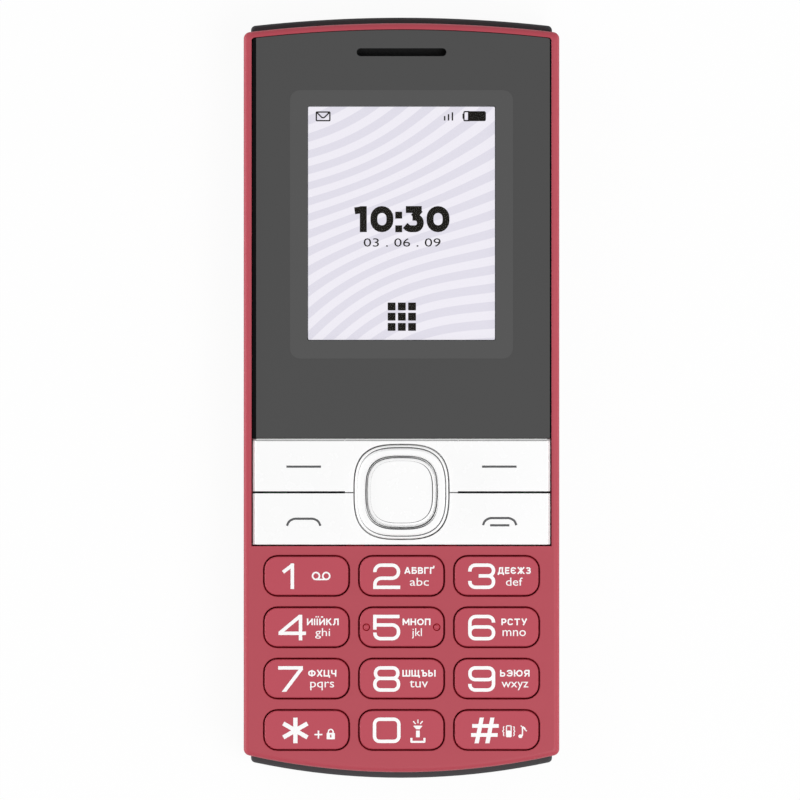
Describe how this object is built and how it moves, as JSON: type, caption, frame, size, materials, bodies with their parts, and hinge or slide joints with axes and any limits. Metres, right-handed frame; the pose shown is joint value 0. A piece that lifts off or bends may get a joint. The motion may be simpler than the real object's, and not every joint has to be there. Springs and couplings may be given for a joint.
{
  "type": "feature phone",
  "caption": "Bar-shaped feature phone with a colour display, hinged soft, call and end keys, a navigation ring and a number keypad, and a sliding battery cover.",
  "frame": {"origin": "middle of the back face that the phone lies on", "axes": "+Z out of the front face and up as the phone lies on its back, +Y along its length towards the earpiece, +X to the right seen from the front"},
  "size_m": [0.0474, 0.1144, 0.0142],
  "materials": {
    "red_shell": "satin moulded plastic",
    "red_keys": "satin moulded plastic",
    "dark_shell": "fine matt texture",
    "white_plastic": "gloss",
    "smoked_lens": "clear gloss over a dark printed surround",
    "display_glass": "plain",
    "grey_plastic": "matt",
    "black_plastic": "matt",
    "battery_pack": "printed sleeve, left bare",
    "flex_circuit": "polyimide film",
    "foam": "matt",
    "circuit_board": "solder mask",
    "tinned_steel": "bright",
    "speaker_steel": "dull",
    "clear_film": "clear film",
    "silicone": "matt",
    "clear_epoxy": "clear gloss"
  },
  "bodies": {
    "handset": {"front_housing": "red_shell", "rear_housing": "dark_shell", "display_lens": "smoked_lens", "panel_frame": "white_plastic", "usb_connector": "tinned_steel", "headset_jack": "black_plastic", "battery": "battery_pack", "lens_tape": "black_plastic", "earpiece_mesh": "black_plastic", "lcd_panel": "display_glass", "lcd_frame": "grey_plastic", "lcd_flex": "flex_circuit", "display_gasket": "foam", "main_board": "circuit_board", "shield_can": "tinned_steel", "dome_sheet": "clear_film", "keypad_mat": "silicone", "earpiece_receiver": "tinned_steel", "loudspeaker": "speaker_steel", "microphone": "tinned_steel", "vibration_motor": "tinned_steel", "torch_led": "clear_epoxy", "sim_socket": "tinned_steel", "battery_connector": "black_plastic", "antenna": "flex_circuit", "housing_screws": "tinned_steel"},
    "battery_cover": {"battery_cover": "dark_shell"},
    "navigation_pad": {"navigation_pad": "silicone"},
    "navigation_ring": {"navigation_ring": "white_plastic"},
    "ok_key": {"ok_key": "white_plastic"},
    "vibration_weight": {"vibration_weight": "speaker_steel"},
    "key_1": {"key_1": "red_keys"},
    "key_2": {"key_2": "red_keys"},
    "key_3": {"key_3": "red_keys"},
    "key_4": {"key_4": "red_keys"},
    "key_5": {"key_5": "red_keys"},
    "key_6": {"key_6": "red_keys"},
    "key_7": {"key_7": "red_keys"},
    "key_8": {"key_8": "red_keys"},
    "key_9": {"key_9": "red_keys"},
    "key_star": {"key_star": "red_keys"},
    "key_0": {"key_0": "red_keys"},
    "key_hash": {"key_hash": "red_keys"},
    "left_soft_key": {"left_soft_key": "white_plastic"},
    "right_soft_key": {"right_soft_key": "white_plastic"},
    "call_key": {"call_key": "white_plastic"},
    "end_key": {"end_key": "white_plastic"}
  },
  "joints": [
    {"name": "cover_slide", "type": "slide", "parent": "handset", "child": "battery_cover", "axis": [0, -1, 0], "range_m": [0, 0.008]},
    {"name": "pad_tilt_sideways", "type": "hinge", "parent": "handset", "child": "navigation_pad", "pos_m": [0, -0.01418, 0.0103], "axis": [0, 1, 0], "range_deg": [-2, 2], "stiffness_Nm_per_rad": 0.15},
    {"name": "ring_tilt_lengthwise", "type": "hinge", "parent": "navigation_pad", "child": "navigation_ring", "pos_m": [0, -0.01418, 0.0114], "axis": [1, 0, 0], "range_deg": [-2, 2], "stiffness_Nm_per_rad": 0.15},
    {"name": "ok_press", "type": "slide", "parent": "handset", "child": "ok_key", "axis": [0, 0, -1], "range_m": [0, 0.00035], "stiffness_N_per_m": 600, "springref_m": -0.0005},
    {"name": "key_1_press", "type": "slide", "parent": "handset", "child": "key_1", "axis": [0, 0, -1], "range_m": [0, 0.00035], "stiffness_N_per_m": 600, "springref_m": -0.0005},
    {"name": "key_2_press", "type": "slide", "parent": "handset", "child": "key_2", "axis": [0, 0, -1], "range_m": [0, 0.00035], "stiffness_N_per_m": 600, "springref_m": -0.0005},
    {"name": "key_3_press", "type": "slide", "parent": "handset", "child": "key_3", "axis": [0, 0, -1], "range_m": [0, 0.00035], "stiffness_N_per_m": 600, "springref_m": -0.0005},
    {"name": "key_4_press", "type": "slide", "parent": "handset", "child": "key_4", "axis": [0, 0, -1], "range_m": [0, 0.00035], "stiffness_N_per_m": 600, "springref_m": -0.0005},
    {"name": "key_5_press", "type": "slide", "parent": "handset", "child": "key_5", "axis": [0, 0, -1], "range_m": [0, 0.00035], "stiffness_N_per_m": 600, "springref_m": -0.0005},
    {"name": "key_6_press", "type": "slide", "parent": "handset", "child": "key_6", "axis": [0, 0, -1], "range_m": [0, 0.00035], "stiffness_N_per_m": 600, "springref_m": -0.0005},
    {"name": "key_7_press", "type": "slide", "parent": "handset", "child": "key_7", "axis": [0, 0, -1], "range_m": [0, 0.00035], "stiffness_N_per_m": 600, "springref_m": -0.0005},
    {"name": "key_8_press", "type": "slide", "parent": "handset", "child": "key_8", "axis": [0, 0, -1], "range_m": [0, 0.00035], "stiffness_N_per_m": 600, "springref_m": -0.0005},
    {"name": "key_9_press", "type": "slide", "parent": "handset", "child": "key_9", "axis": [0, 0, -1], "range_m": [0, 0.00035], "stiffness_N_per_m": 600, "springref_m": -0.0005},
    {"name": "key_star_press", "type": "slide", "parent": "handset", "child": "key_star", "axis": [0, 0, -1], "range_m": [0, 0.00035], "stiffness_N_per_m": 600, "springref_m": -0.0005},
    {"name": "key_0_press", "type": "slide", "parent": "handset", "child": "key_0", "axis": [0, 0, -1], "range_m": [0, 0.00035], "stiffness_N_per_m": 600, "springref_m": -0.0005},
    {"name": "key_hash_press", "type": "slide", "parent": "handset", "child": "key_hash", "axis": [0, 0, -1], "range_m": [0, 0.00035], "stiffness_N_per_m": 600, "springref_m": -0.0005},
    {"name": "left_soft_key_press", "type": "hinge", "parent": "handset", "child": "left_soft_key", "pos_m": [-0.0085, -0.01418, 0.0137], "axis": [0, -1, 0], "range_deg": [0, 2.5], "stiffness_Nm_per_rad": 0.15, "springref_deg": -1.72},
    {"name": "right_soft_key_press", "type": "hinge", "parent": "handset", "child": "right_soft_key", "pos_m": [0.0085, -0.01418, 0.0137], "axis": [0, 1, 0], "range_deg": [0, 2.5], "stiffness_Nm_per_rad": 0.15, "springref_deg": -1.72},
    {"name": "call_key_press", "type": "hinge", "parent": "handset", "child": "call_key", "pos_m": [-0.0085, -0.01418, 0.0137], "axis": [0, -1, 0], "range_deg": [0, 2.5], "stiffness_Nm_per_rad": 0.15, "springref_deg": -1.72},
    {"name": "end_key_press", "type": "hinge", "parent": "handset", "child": "end_key", "pos_m": [0.0085, -0.01418, 0.0137], "axis": [0, 1, 0], "range_deg": [0, 2.5], "stiffness_Nm_per_rad": 0.15, "springref_deg": -1.72},
    {"name": "vibration_spin", "type": "hinge", "parent": "handset", "child": "vibration_weight", "pos_m": [0.013, 0.0464, 0.0049], "axis": [0, 1, 0], "continuous": true}
  ]
}
